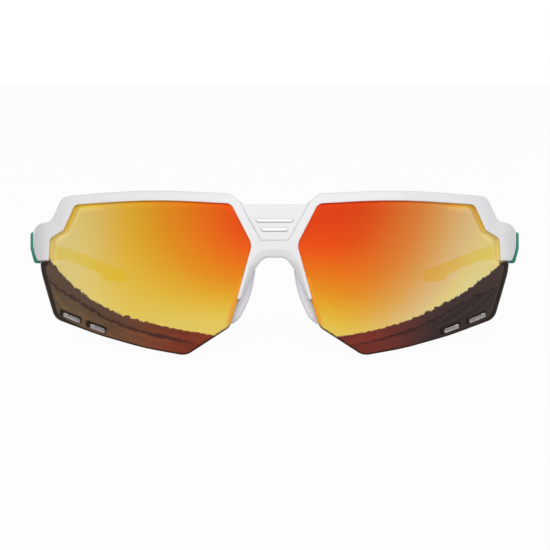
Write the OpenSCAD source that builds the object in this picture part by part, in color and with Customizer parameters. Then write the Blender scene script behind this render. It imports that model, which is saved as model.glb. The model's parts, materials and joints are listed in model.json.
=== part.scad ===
// Wraparound sports sunglasses with a half-rim frame, two mirrored lenses and folding temples.
// All pieces are drawn as worn: X points to the wearer's left, Y back from the bridge, and Z up from
// the datum plane, which holds the centre of the base sphere. The whole is then tipped back until it
// stands on its lens feet and temple tips, as it does on a table.

/* [Front] */
// Radius of the frame's front surface
base_r = 93.3; // [90:0.1:105]
// Thickness of the rim, front to back
rim_t = 4.8; // [4.4:0.1:6]
// Height of the rim bar above the lenses
bar_h = 2.8; // [2.4:0.1:4]
// Radius of the bar's long curves over a lens
bar_r = 200; // [120:10:240]
// Width of the rim beside the upper outer lens corner
corner_w = 4.0; // [3:0.1:6]
// How far the frame's front surface stands proud of the lenses
proud = 1.3; // [0.8:0.1:1.5]

/* [Bridge] */
// Height of the bridge's top edge above the datum
bridge_top = 19.4; // [18:0.1:20.5]
// Height of the nose arch above the datum
arch_top = 4.8; // [3.5:0.1:6]
// Width of the nose arch where the legs begin
arch_w = 11.0; // [10:0.1:12]
// Radius of the arch's two upper corners
arch_r = 2.4; // [1.8:0.1:3]
// Height of the bevel over the nose arch
bevel_h = 2.1; // [1:0.1:3]
// Depth of the bevel over the nose arch
bevel_d = 2.2; // [1:0.1:3]
// Depth of the leg ends below the datum
leg_foot = 6.6; // [5:0.1:8]
// Height of the place where the nose legs leave the arch
leg_top = 1.4; // [1:0.1:2]
// Width of the leg ends
leg_w = 1.05; // [0.9:0.05:1.4]
// Depth of the bridge recess
recess_d = 0.5; // [0.2:0.1:1]
// Height of the recess's lower edge above the datum
recess_foot = 9.5; // [8.5:0.1:10.5]
// Width of the recess's lower edge
recess_w = 7.5; // [6.5:0.1:8.5]
// Slant of the recess's sides, sideways for each unit of height
recess_slant = 0.557; // [0.4:0.001:0.7]
// Height of the two bridge slots
slot_h = 1.1; // [0.8:0.1:1.4]
// Height of the upper slot's middle above the recess's lower edge
slot_rise = 5.4; // [5:0.1:6]
// Distance between the middles of the two slots
slot_pitch = 2.5; // [2:0.1:3]
// Band left between each slot's end and the recess's side
slot_margin = 1.7; // [1.2:0.1:2.2]

/* [End pieces] */
// Width of the end pieces beyond the lenses
end_w = 2.6; // [2.4:0.1:4]
// Height of the end pieces' top above the datum
end_top = 14.8; // [14.2:0.1:16]
// Height of the end pieces' foot above the datum
end_foot = 4.15; // [3.6:0.05:4.4]
// How far the end pieces' top falls towards the side
end_fall = 1.8; // [1.2:0.1:2.4]
// How far the end pieces' outer lower corner is cut back
end_slant = 1.7; // [1:0.1:1.8]
// How far the end pieces run back along the side
end_len = 5.0; // [4.6:0.1:7]
// Thickness of the end piece's outer wall beside the hinge
end_wall = 2.0; // [1.6:0.1:2.6]

/* [Lenses] */
// Distance between the two lens openings at the bridge
lens_gap = 12.4; // [12:0.1:15]
// Width of a lens, straight across
lens_w = 61.3; // [58:0.1:63]
// Height of a lens opening above the datum
lens_rise = 21.0; // [20.4:0.1:22]
// Depth of a lens below the datum
lens_drop = 22.35; // [20:0.05:24]
// Thickness of a lens
lens_t = 2.0; // [1.6:0.1:2.2]
// Depth of the lens groove in the bar and the end piece
groove = 1.2; // [0.8:0.1:1.5]
// Depth of the lens groove in the nose leg
leg_groove = 0.45; // [0.3:0.05:0.6]
// Gap around a lens in its groove
lens_fit = 0.05; // [0.02:0.01:0.1]

/* [Lens vents] */
// Height of a vent slot
vent_h = 1.3; // [0.8:0.1:1.8]
// Length of the outer vent slot
vent_out_len = 6.6; // [5:0.1:8]
// Length of the inner vent slot
vent_in_len = 5.4; // [4:0.1:6]
// Slope of the row of vents
vent_slope = 16.8; // [10:0.1:22]
// How steeply the vents rise towards the inside
vent_rise = 26; // [0:1:35]

/* [Nose pads] */
// Thickness of a nose pad
pad_t = 2.6; // [2.2:0.1:3.2]
// Depth of a nose pad, front to back
pad_d = 8.0; // [7:0.1:10]
// Length of a nose pad
pad_h = 16.0; // [14:0.1:17]
// Thickness of the fin that holds a nose pad
fin_t = 1.0; // [0.8:0.1:1.2]
// How far the fin reaches into the pad
fin_d = 3.0; // [2:0.1:4]
// Height of the pad above the fin's top
fin_cover = 2.2; // [1.6:0.1:3]
// How far a pad's middle lies outside its top
pad_lean = 1.2; // [0.8:0.1:1.6]
// How far a pad's lower end lies outside its top
pad_flare = 7.3; // [6.5:0.1:8]
// Gap around the fin in the pad
pad_fit = 0.03; // [0.01:0.01:0.06]

/* [Hinges] */
// Height of the hinge's middle above the datum
pin_z = 7.8; // [7.6:0.1:8]
// Outside radius of a hinge knuckle
knuckle_r = 1.6; // [1.4:0.05:1.8]
// Height of each of the two bracket knuckles
knuckle_h = 2.3; // [1.8:0.1:2.5]
// Height of the temple leaf's single knuckle
tongue_h = 2.4; // [2:0.1:2.8]
// Gap between neighbouring knuckles
knuckle_gap = 0.1; // [0.05:0.05:0.2]
// Diameter of the hinge screw's shank
pin_d = 1.3; // [1.1:0.05:1.5]
// Thickness of the hinge's metal leaves
leaf_t = 0.9; // [0.7:0.1:1]
// Thickness of the lug that keys the bracket into the end piece
lug_t = 1.0; // [0.8:0.1:1.2]
// Depth of the lug
lug_d = 1.2; // [0.8:0.1:1.5]
// Length of the temple leaf behind the pin
leaf_len = 12.5; // [11.5:0.1:13]
// Height of the temple leaf's plate
leaf_h = 3.4; // [3:0.1:3.6]
// Diameter of the small fixing screws' shanks
screw_d = 1.1; // [0.9:0.05:1.2]
// Diameter of the small fixing screws' heads
head_d = 2.0; // [1.8:0.1:2.2]
// Height of the screw heads
head_h = 0.6; // [0.4:0.1:0.7]
// How deep the fixing screws reach into the plastic
screw_len = 2.0; // [1.5:0.1:2.2]

/* [Temples] */
// How far the temples stand proud of the end pieces
arm_step = 1.0; // [0.5:0.1:1.5]
// Length of a temple from its hinge pin
temple_len = 121; // [112:1:130]
// Height of a temple's top edge at the hinge above the datum
arm_top = 12.8; // [12.2:0.1:13.2]
// Height of a temple's lower edge at the hinge above the datum
arm_foot = 3.3; // [3:0.1:3.8]
// Thickness of a temple at its hinge
arm_t = 4.2; // [3.8:0.1:4.8]
// How much thinner a temple gets half way
arm_slim = 0.5; // [0:0.1:0.8]
// How far a temple bows outwards half way
arm_bow = 1.0; // [0:0.1:2]
// Height of a temple at its neck, where it has left the hinge
neck_h = 5.2; // [4.6:0.1:5.8]
// Distance of the neck behind the hinge
neck_len = 13; // [12.5:0.5:18]
// How far the temple's middle line has fallen at the neck
neck_fall = 0.9; // [0.6:0.1:1.2]
// Height of a temple from its waist on
arm_h = 3.3; // [3.1:0.1:4]
// Distance of the waist behind the hinge
waist_len = 43; // [35:1:50]
// How far the middle line has fallen at the waist
waist_fall = 1.4; // [1:0.1:2.4]
// How far the middle line has fallen at the front of the soft tip
bend_fall = 3.0; // [2:0.1:4.5]
// Width of the bevel on a temple's lower outer edge at the hinge
arm_bevel = 1.2; // [0.5:0.1:1.6]
// Distance between the two temple tips, inside
tips_gap = 102; // [98:1:116]
// Thickness of a temple tip
tip_t = 3.8; // [3.4:0.1:4.5]
// Length of the soft temple tip
tip_len = 54; // [48:1:60]
// Height of the temple tip at its end
paddle_h = 4.0; // [3.5:0.1:5]
// Depth of the tip's lower end below the datum
paddle_foot = 2.5; // [2:0.1:4]
// How much higher the paddle's lower edge is at its front
paddle_rise = 0.6; // [0:0.1:1.2]
// Length of the paddle
paddle_len = 19; // [16:1:24]
// Length of the slope in front of the paddle
paddle_run = 5.5; // [4:0.5:8]
// Length of the arm's tongue inside the soft tip
stem_len = 16; // [12:1:20]
// Thickness of the arm's tongue
stem_t = 1.9; // [1.7:0.1:2.1]
// Height of the arm's tongue
stem_h = 1.9; // [1.7:0.1:2.1]
// Diameter of the bendable wire in the tip
wire_d = 0.8; // [0.6:0.1:0.9]
// Length of the wire
wire_len = 46; // [40:1:48]

/* [Fits] */
// Radial gap of a turning or sliding fit
run_fit = 0.03; // [0.02:0.01:0.05]
// Radial overlap of a screw in its own thread
thread_fit = 0.02; // [0.01:0.01:0.03]
// Gap between surfaces that pass each other as a temple folds
swing_gap = 0.3; // [0.25:0.05:0.5]

/* [Hidden] */

$fn = 48;
sphere_fn = 256;
arc_step = 12;          // degrees between the points of a rounded corner
arc_run = 6;            // longest straight side of a long arc
over = 1;               // how far a cut runs past the face that it opens
reach = 60;             // long enough to pass through the whole front

// Shells of the front, all about one centre
lens_r = base_r - proud;
lens_back_r = lens_r - lens_t;
frame_back_r = base_r - rim_t;

// Sideways and upwards places on a lens, as shares of its width, rise and drop
nose_x = lens_gap / 2;
function across(share) = nose_x + share * lens_w;
function above(share) = share * lens_rise;
function below(share) = -share * lens_drop;

// Hinge places, from the end piece inwards
front_x = across(1) + end_w;
arm_x = front_x + arm_step;
pin_x = front_x - end_wall - swing_gap - knuckle_r;
pin_y = base_r - sqrt(base_r * base_r - front_x * front_x) + end_len;
pocket_x = pin_x + knuckle_r + swing_gap - 0.05;
leaf_x = pocket_x - leaf_t;
seat_y = pin_y - knuckle_r - swing_gap - leaf_t;
butt_y = pin_y - swing_gap / 2;
arm_y = pin_y + swing_gap / 2;
knuckle_z = pin_z - tongue_h / 2 - knuckle_gap - knuckle_h;
knuckle_top = pin_z + tongue_h / 2 + knuckle_gap + knuckle_h;
flange_z = end_top - 1.9;
block_x = across(0.954) - 0.3;

// Temple places
tip_y = pin_y + temple_len;
tip_x = tips_gap / 2 + tip_t;
split_y = tip_y - tip_len;
step_y = tip_y - paddle_len;
neck_y = pin_y + neck_len;
neck_z = pin_z - neck_fall;
waist_y = pin_y + waist_len;
waist_z = pin_z - waist_fall;
bend_z = pin_z - bend_fall;
tip_end_z = paddle_h / 2 - paddle_foot;

function unit(v) = v / norm(v);

// Points of an outline whose corners are given as [across, up, radius]
function corner(a, b, c, r) =
    let (u = unit(a - b),
         v = unit(c - b),
         half = acos(max(-1, min(1, u * v))) / 2,
         run = min(r / tan(half), 0.49 * norm(a - b), 0.49 * norm(c - b)),
         bend = run * tan(half),
         hub = b + unit(u + v) * bend / sin(half),
         from = b + u * run - hub,
         to = b + v * run - hub,
         turn = atan2(from.x * to.y - from.y * to.x, from * to),
         steps = max(1, ceil(abs(turn) / arc_step), ceil(bend * abs(turn) * PI / 180 / arc_run)))
    [for (i = [0:steps])
        let (a = turn * i / steps)
        hub + [from.x * cos(a) - from.y * sin(a), from.x * sin(a) + from.y * cos(a)]];

function rounded(corners) =
    let (n = len(corners))
    [for (i = [0:n - 1])
        let (a = corners[(i + n - 1) % n], b = corners[i], c = corners[(i + 1) % n])
        each b[2] > 0
            ? corner([a.x, a.y], [b.x, b.y], [c.x, c.y], b[2])
            : [[b.x, b.y]]];

// An outline, listed clockwise, moved outwards by a small distance
function grown(points, d) =
    let (n = len(points))
    [for (i = [0:n - 1])
        let (a = unit(points[i] - points[(i + n - 1) % n]),
             b = unit(points[(i + 1) % n] - points[i]),
             m = [-a.y, a.x],
             k = [-b.y, b.x])
        points[i] + d * (m + k) / (1 + m * k)];

// Opening for a lens in the frame, clockwise from the bridge. Its lower part lies under the free lens.
opening_corners = [
    [across(0), above(0.40), 4],
    [across(0.095), above(0.938), 2.4],
    [across(0.445), above(1), bar_r],
    [across(0.825), above(0.952), 1.8],
    [across(0.881), above(0.605), 1.5],
    [across(0.949), above(0.5), 2],
    [across(0.954), end_foot - over, 0],
    [across(0.30), below(0.8), 0],
    [across(0.098), below(0.6), 0]];
opening_outline = rounded(opening_corners);

// Outline of a lens: the opening with the grooved edges added, and the free lower edges
lens_corners = [
    [across(0) - leg_groove, above(0.40), 4],
    [across(0.095) - groove, above(0.938) + groove, 2.4],
    [across(0.445), above(1) + groove, bar_r],
    [across(0.825) + groove, above(0.952) + groove, 1.8],
    [across(0.881) + groove, above(0.605) + groove / 2, 1.5],
    [across(0.949) + groove, above(0.5) + groove / 2, 2],
    [across(0.954) + groove, end_foot - 0.35, 0.5],
    [across(1), end_foot - 0.4, 1.8],
    [across(0.998), below(-0.05), 12],
    [across(0.928), below(0.56), 4],
    [across(0.70), below(0.765), 80],
    [across(0.49), below(0.915), 80],
    [across(0.30), below(1.002), 4.5],
    [across(0.10), below(0.644), 3]];
lens_outline = rounded(lens_corners);

// Half of the frame's own outline, clockwise from the bridge's top to the nose arch
bar_top = lens_rise + bar_h;
half_frame_corners = [
    [0, bridge_top, 0],
    [across(0.0375), bridge_top, 1.5],
    [across(0.0995), bar_top - 1.3, 1.8],
    [across(0.486), bar_top, bar_r],
    [across(0.825) + corner_w, bar_top - 1.35, 2.8],
    [across(0.946), end_top + end_fall / 3, 2.6],
    [front_x - end_wall, end_top, 3],
    [front_x, end_top - end_fall, 1.5],
    [front_x, end_foot + 2 * end_slant, 4],
    [front_x - end_slant, end_foot, 0.8],
    [across(0.93), end_foot, 0],
    [across(0.083), -leg_foot, 0],
    [across(0.0665) - leg_w, -leg_foot, 0.3],
    [arch_w / 2, leg_top, 3],
    [arch_w / 2 - arch_r, arch_top, 1.5 * arch_r],
    [0, arch_top, 0]];
half_frame = rounded(half_frame_corners);
frame_outline = concat(half_frame, [for (i = [len(half_frame) - 2:-1:1]) [-half_frame[i].x, half_frame[i].y]]);

// Side outline of a temple as [back, up], clockwise from the upper front corner
temple_corners = [
    [arm_y, arm_top, 1],
    [neck_y, neck_z + neck_h / 2, 20],
    [waist_y, waist_z + arm_h / 2, 150],
    [split_y, bend_z + arm_h / 2, 150],
    [tip_y, paddle_h - paddle_foot, 2.4],
    [tip_y - 0.4, -paddle_foot, 1.8],
    [step_y, paddle_rise - paddle_foot, 5],
    [step_y - paddle_run, tip_z(step_y - paddle_run) - arm_h / 2, 5],
    [split_y, bend_z - arm_h / 2, 150],
    [waist_y, waist_z - arm_h / 2, 100],
    [neck_y, neck_z - neck_h / 2, 20],
    [arm_y, arm_foot, 1]];
temple_side = rounded(temple_corners);

// Outer and inner face of a temple seen from above, at a share of its length
function outer_x(s) = arm_x + (tip_x - arm_x) * s + 4 * arm_bow * s * (1 - s);
function wall(s) = arm_t + (tip_t - arm_t) * s - 4 * arm_slim * s * (1 - s);
function inner_x(s) = outer_x(s) - wall(s);
function middle_x(s) = outer_x(s) - wall(s) / 2;
function share(y) = (y - pin_y) / temple_len;
plan_steps = 16;

// Height of the soft tip's middle line, and the wire's two ends on it
function tip_z(y) = bend_z + (tip_end_z - bend_z) * (y - split_y) / (tip_y - split_y);
wire_from_y = split_y - 4;
wire_to_y = wire_from_y + wire_len;
wire_from = [middle_x(share(wire_from_y)), wire_from_y, tip_z(wire_from_y)];
wire_to = [middle_x(share(wire_to_y)), wire_to_y, tip_z(wire_to_y)];

// Nose pad seen from the front, clockwise from its top: the nose side, then the lens side
pad_top = leg_foot * 0.28;
pad_low = pad_top - pad_h;
pad_x = arch_w / 2 - 0.25;
pad_middle = pad_top - 0.45 * pad_h;
pad_corners = [
    [pad_x + pad_t, pad_top, 1],
    [pad_x + pad_lean + pad_t, pad_middle, 30],
    [pad_x + 0.63 * pad_flare + 0.8 * pad_t, pad_low + pad_t, 12],
    [pad_x + pad_flare, pad_low, 0.8],
    [pad_x + 0.6 * pad_flare, pad_low + 0.73 * pad_t, 10],
    [pad_x + pad_lean, pad_middle, 25],
    [pad_x, pad_top, 0.8]];

// Nose pad seen from the side as [back, up], clockwise from its upper front
pad_front = base_r - sqrt(frame_back_r * frame_back_r - across(0) * across(0)) + swing_gap;
pad_side_corners = [
    [pad_front, pad_top, 2],
    [pad_front + 0.9 * pad_d, pad_top - 0.1 * pad_h, 4],
    [pad_front + pad_d, pad_top - 0.6 * pad_h, 8],
    [pad_front + 0.7 * pad_d, pad_low, 4],
    [pad_front + 0.08 * pad_d, pad_low, 3]];

// Fin behind the nose leg, seen from the front
fin_top = pad_top - fin_cover;
fin_foot = -leg_foot + leg_w / 3;
fin_lean = (across(0.0665) - leg_w - arch_w / 2) / (leg_foot + leg_top);
fin_x = arch_w / 2 + leg_w / 2;
function fin_outline(gap) =
    [for (p = [[0, fin_top], [fin_t, fin_top], [fin_t, fin_foot], [0, fin_foot]])
        [fin_x + fin_lean * (leg_top - p.y) + (p.x > 0 ? p.x + gap : -gap),
         p.y + (p.y == fin_top ? gap : -gap)]];

// Tipping back until the lens feet and the temple tips stand on one plane
function shell_y(p, r) = base_r - sqrt(r * r - p.x * p.x - p.y * p.y);
function tipped_z(y, z, tip) = z * cos(tip) - y * sin(tip);
function tipped_y(y, z, tip) = y * cos(tip) + z * sin(tip);
function lens_low(tip) = min([for (p = lens_outline) tipped_z(shell_y(p, lens_back_r), p.y, tip)]);
function temple_low(tip) = min([for (p = temple_side) tipped_z(p.x, p.y, tip)]);
function settled(tip, turns) =
    turns == 0
        ? tip
        : settled(tip + (temple_low(tip) - lens_low(tip)) / temple_len * 180 / PI, turns - 1);
stand_tip = settled(7, 5);
stand_lift = -min(lens_low(stand_tip), temple_low(stand_tip));
stand_front = min([for (p = frame_outline) tipped_y(shell_y(p, base_r), p.y, stand_tip)]);
stand_back = max([for (p = temple_side) tipped_y(p.x, p.y, stand_tip)]);

module standing() {
    translate([0, -(stand_front + stand_back) / 2, stand_lift])
        rotate([-stand_tip, 0, 0])
            children();
}

module left() {
    standing() children();
}

module right() {
    standing() mirror([1, 0, 0]) children();
}

// A front outline drawn through from one depth to another
module through(from_y, to_y) {
    translate([0, to_y, 0])
        rotate([90, 0, 0])
            linear_extrude(to_y - from_y)
                children();
}

// A side outline drawn across from one place to another
module sideways(from_x, to_x) {
    translate([from_x, 0, 0])
        rotate([90, 0, 90])
            linear_extrude(to_x - from_x)
                children();
}

module ball(r) {
    translate([0, base_r, 0])
        sphere(r, $fn = sphere_fn);
}

module shell(outer_r, inner_r) {
    difference() {
        ball(outer_r);
        ball(inner_r);
    }
}

module both_sides() {
    children();
    mirror([1, 0, 0]) children();
}

// Cylinder along Y, from one depth to another
module rod_y(x, z, from_y, to_y, d) {
    translate([x, from_y, z])
        rotate([-90, 0, 0])
            cylinder(h = to_y - from_y, d = d);
}

// Cylinder along X, from one place to another
module rod_x(y, z, from_x, to_x, d) {
    translate([from_x, y, z])
        rotate([0, 90, 0])
            cylinder(h = to_x - from_x, d = d);
}

module frame_plate() {
    difference() {
        polygon(frame_outline);
        polygon(opening_outline);
        mirror([1, 0]) polygon(opening_outline);
    }
}

// Groove for a lens: the lens itself, grown by its fit
module lens_groove() {
    intersection() {
        through(-over, reach) polygon(grown(lens_outline, lens_fit));
        shell(lens_r + lens_fit, lens_back_r - lens_fit);
    }
}

function recess_half(z) = recess_w / 2 + recess_slant * (z - recess_foot);

module bridge_recess() {
    top = bridge_top + 4;
    intersection() {
        through(-over, reach)
            polygon([[-recess_half(top), top], [recess_half(top), top],
                     [recess_half(recess_foot), recess_foot], [-recess_half(recess_foot), recess_foot]]);
        shell(base_r + over, base_r - recess_d);
    }
}

module bridge_slot(z) {
    high = recess_half(z + slot_h / 2) - slot_margin;
    low = recess_half(z - slot_h / 2) - slot_margin;
    through(-over, rim_t + 3)
        polygon([[-high, z + slot_h / 2], [high, z + slot_h / 2], [low, z - slot_h / 2], [-low, z - slot_h / 2]]);
}

module arch_bevel() {
    fall = bevel_h / bevel_d;
    bevel_x = arch_w / 2 - 0.75 * arch_r;
    sideways(-bevel_x, bevel_x)
        polygon([[-over, arch_top + bevel_h + over * fall],
                 [bevel_d + over, arch_top - over * fall],
                 [-over, arch_top - over * fall]]);
}

// Block that fills the end piece behind the rim
module end_block() {
    intersection() {
        through(0, butt_y) frame_plate();
        ball(base_r);
        translate([block_x, 0, 0]) cube([reach, reach, end_top + over]);
    }
}

// Room for the hinge behind the end piece: the bracket's seat, and the butt joint with the temple
module hinge_room() {
    translate([0, seat_y, 0]) cube([front_x - end_wall, reach, end_top + over]);
    translate([0, butt_y, 0]) cube([front_x + over, reach, end_top + over]);
}

module pad_fin() {
    through(rim_t / 2, pad_front + fin_d)
        polygon(fin_outline(0));
}

module bracket_lug(gap) {
    lug_h = 2 * knuckle_h;
    translate([pin_x + 0.4 * lug_t - gap, seat_y - lug_d - gap, pin_z - lug_h / 2 - gap])
        cube([lug_t + 2 * gap, lug_d + over, lug_h + 2 * gap]);
}

module front_frame() {
    color("whitesmoke")
        standing()
            difference() {
                union() {
                    intersection() {
                        through(-over, reach) frame_plate();
                        shell(base_r, frame_back_r);
                    }
                    both_sides() {
                        end_block();
                        pad_fin();
                    }
                }
                both_sides() {
                    hinge_room();
                    lens_groove();
                    bracket_lug(run_fit);
                    rod_y(pin_x, flange_z, seat_y - screw_len, seat_y + over, screw_d - 2 * thread_fit);
                }
                bridge_recess();
                bridge_slot(recess_foot + slot_rise);
                bridge_slot(recess_foot + slot_rise - slot_pitch);
                arch_bevel();
            }
}

// Slot whose mouth lies on the lens's front and whose way in rises towards the inside
module vent(x, z, length) {
    y = -sqrt(lens_r * lens_r - x * x - z * z);
    w = vent_h / 2 * cos(vent_rise);
    l = length / 2;
    translate([0, base_r, 0])
        rotate([0, acos(z / lens_r), atan2(y, x)])
            rotate([0, 0, vent_slope])
                translate([0, 0, lens_r])
                    rotate([0, vent_rise, 0])
                        translate([0, 0, -2 * lens_t])
                            linear_extrude(3 * lens_t)
                                polygon(rounded([[-w, -l, 0.5], [-w, l, 0.5], [w, l, 0.5], [w, -l, 0.5]]));
}

module lens() {
    color([0.95, 0.55, 0.15])
        difference() {
            intersection() {
                through(-over, reach) polygon(lens_outline);
                shell(lens_r, lens_back_r);
            }
            vent(across(0.841), below(0.546), vent_out_len);
            vent(across(0.714), below(0.676), vent_in_len);
        }
}

module nose_pad() {
    color([0.86, 0.87, 0.9])
        difference() {
            intersection() {
                through(pad_front - over, pad_front + pad_d + over) polygon(rounded(pad_corners));
                sideways(0, reach) polygon(rounded(pad_side_corners));
            }
            through(pad_front - 2 * over, pad_front + fin_d + pad_fit) polygon(fin_outline(pad_fit));
        }
}

module knuckle(from_z, height) {
    translate([pin_x, pin_y, from_z])
        cylinder(h = height, r = knuckle_r);
}

module bracket_knuckle(from_z) {
    knuckle(from_z, knuckle_h);
    translate([pin_x - knuckle_r, seat_y, from_z])
        cube([2 * knuckle_r, pin_y - seat_y, knuckle_h]);
}

module hinge_bracket() {
    plate_x = across(0.954);
    color("silver")
        difference() {
            union() {
                translate([plate_x, seat_y, knuckle_z])
                    cube([front_x - end_wall - run_fit - plate_x, leaf_t, end_top - 0.6 - knuckle_z]);
                bracket_knuckle(knuckle_z);
                bracket_knuckle(knuckle_top - knuckle_h);
                bracket_lug(0);
            }
            translate([pin_x, pin_y, knuckle_top - knuckle_h - over])
                cylinder(h = knuckle_h + 2 * over, d = pin_d + 2 * run_fit);
            translate([pin_x, pin_y, knuckle_z - over])
                cylinder(h = knuckle_h + 2 * over, d = pin_d - 2 * thread_fit);
            rod_y(pin_x, flange_z, seat_y - over, seat_y + leaf_t + over, screw_d + 2 * run_fit);
        }
}

// Slot for a driver in a screw's head
module driver_slot(d) {
    cube([d + over, 0.35, head_h], center = true);
}

module bracket_screw() {
    head_y = seat_y + leaf_t;
    color("gray")
        difference() {
            union() {
                rod_y(pin_x, flange_z, seat_y - screw_len + 0.1, head_y, screw_d);
                rod_y(pin_x, flange_z, head_y, head_y + head_h, head_d);
            }
            translate([pin_x, head_y + head_h, flange_z]) rotate([90, 0, 0]) driver_slot(head_d);
        }
}

module hinge_screw() {
    color("gray")
        difference() {
            union() {
                translate([pin_x, pin_y, knuckle_z + 0.2])
                    cylinder(h = knuckle_top - knuckle_z - 0.2, d = pin_d);
                translate([pin_x, pin_y, knuckle_top])
                    cylinder(h = head_h, d = 2 * knuckle_r - 0.7);
            }
            translate([pin_x, pin_y, knuckle_top + head_h]) driver_slot(2 * knuckle_r);
        }
}

leaf_screw_ys = [for (i = [0, 1]) pin_y + 5.8 + i * (leaf_len - 7.6)];

module hinge_leaf() {
    bare_len = 2 * knuckle_r;
    color("silver")
        difference() {
            union() {
                knuckle(pin_z - tongue_h / 2, tongue_h);
                translate([leaf_x, pin_y, pin_z - tongue_h / 2])
                    cube([leaf_t, leaf_len, tongue_h]);
                translate([leaf_x, pin_y + bare_len, pin_z - leaf_h / 2])
                    cube([leaf_t, leaf_len - bare_len, leaf_h]);
            }
            translate([pin_x, pin_y, pin_z - tongue_h / 2 - over])
                cylinder(h = tongue_h + 2 * over, d = pin_d + 2 * run_fit);
            for (y = leaf_screw_ys)
                rod_x(y, pin_z, leaf_x - over, pocket_x + over, screw_d + 2 * run_fit);
        }
}

module leaf_screws() {
    color("gray")
        for (y = leaf_screw_ys)
            difference() {
                union() {
                    rod_x(y, pin_z, leaf_x, pocket_x + screw_len - 0.1, screw_d);
                    rod_x(y, pin_z, leaf_x - head_h, leaf_x, head_d);
                }
                translate([leaf_x - head_h, y, pin_z]) rotate([0, 90, 0]) driver_slot(head_d);
            }
}

// A temple's faces seen from above, drawn inwards by the same amount from both sides
module temple_plan(from_y, to_y, inset) {
    ys = [for (i = [0:plan_steps]) from_y + (to_y - from_y) * i / plan_steps];
    polygon(concat(
        [for (y = ys) [outer_x(share(y)) - inset, y]],
        [for (i = [plan_steps:-1:0]) [inner_x(share(ys[i])) + inset, ys[i]]]));
}

module temple_body(from_y, to_y) {
    intersection() {
        sideways(0, arm_x + reach) polygon(temple_side);
        translate([0, 0, -reach / 2]) linear_extrude(reach) temple_plan(from_y, to_y, 0);
    }
}

// Tongue of the arm inside the soft tip, grown by a gap where it is cut out of the tip
module stem(gap) {
    from_y = split_y - over;
    to_y = split_y + stem_len + gap;
    h = stem_h / 2 + gap;
    intersection() {
        sideways(0, arm_x + reach)
            polygon([[from_y, tip_z(from_y) + h], [to_y, tip_z(to_y) + h],
                     [to_y, tip_z(to_y) - h], [from_y, tip_z(from_y) - h]]);
        translate([0, 0, -reach / 2])
            linear_extrude(reach)
                temple_plan(from_y, to_y, (wall(share(split_y)) - stem_t) / 2 - gap);
    }
}

module wire(extra_d, extra_len) {
    run = wire_to - wire_from;
    translate(wire_from)
        rotate([0, acos(unit(run).z), atan2(run.y, run.x)])
            translate([0, 0, -extra_len])
                cylinder(h = norm(run) + 2 * extra_len, d = wire_d + extra_d);
}

// Wedge off the lower outer edge, which fades out as the temple turns inwards
module front_bevel() {
    fall = arm_bevel / (pin_z - arm_foot);
    through(arm_y - over, split_y)
        polygon([[arm_x, pin_z], [arm_x + over, pin_z], [arm_x + over, arm_foot - over],
                 [arm_x - arm_bevel - over * fall, arm_foot - over]]);
}

module temple_arm() {
    pocket_len = leaf_len + swing_gap;
    color([0.18, 0.55, 0.48])
        difference() {
            union() {
                temple_body(arm_y, split_y);
                stem(0);
            }
            translate([pocket_x - reach, pin_y - over, -reach / 2])
                cube([reach, pocket_len + over, reach]);
            for (y = leaf_screw_ys)
                rod_x(y, pin_z, pocket_x - over, pocket_x + screw_len, screw_d - 2 * thread_fit);
            wire(2 * run_fit, run_fit);
            front_bevel();
        }
}

module temple_tip() {
    color([0.16, 0.5, 0.44])
        difference() {
            temple_body(split_y + pad_fit, tip_y + over);
            stem(pad_fit);
            wire(2 * run_fit, run_fit);
        }
}

module tip_wire() {
    color("silver")
        wire(0, 0);
}

module lens_left() { left() lens(); }
module lens_right() { right() lens(); }
module nose_pad_left() { left() nose_pad(); }
module nose_pad_right() { right() nose_pad(); }
module hinge_bracket_left() { left() hinge_bracket(); }
module hinge_bracket_right() { right() hinge_bracket(); }
module bracket_screw_left() { left() bracket_screw(); }
module bracket_screw_right() { right() bracket_screw(); }
module hinge_screw_left() { left() hinge_screw(); }
module hinge_screw_right() { right() hinge_screw(); }
module hinge_leaf_left() { left() hinge_leaf(); }
module hinge_leaf_right() { right() hinge_leaf(); }
module leaf_screws_left() { left() leaf_screws(); }
module leaf_screws_right() { right() leaf_screws(); }
module temple_arm_left() { left() temple_arm(); }
module temple_arm_right() { right() temple_arm(); }
module temple_tip_left() { left() temple_tip(); }
module temple_tip_right() { right() temple_tip(); }
module tip_wire_left() { left() tip_wire(); }
module tip_wire_right() { right() tip_wire(); }

front_frame();
lens_left();
lens_right();
nose_pad_left();
nose_pad_right();
hinge_bracket_left();
hinge_bracket_right();
bracket_screw_left();
bracket_screw_right();
hinge_screw_left();
hinge_screw_right();
hinge_leaf_left();
hinge_leaf_right();
leaf_screws_left();
leaf_screws_right();
temple_arm_left();
temple_arm_right();
temple_tip_left();
temple_tip_right();
tip_wire_left();
tip_wire_right();
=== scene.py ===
import json
import math

import bmesh
import bpy
import numpy as np
from mathutils import Matrix, Vector, geometry

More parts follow.
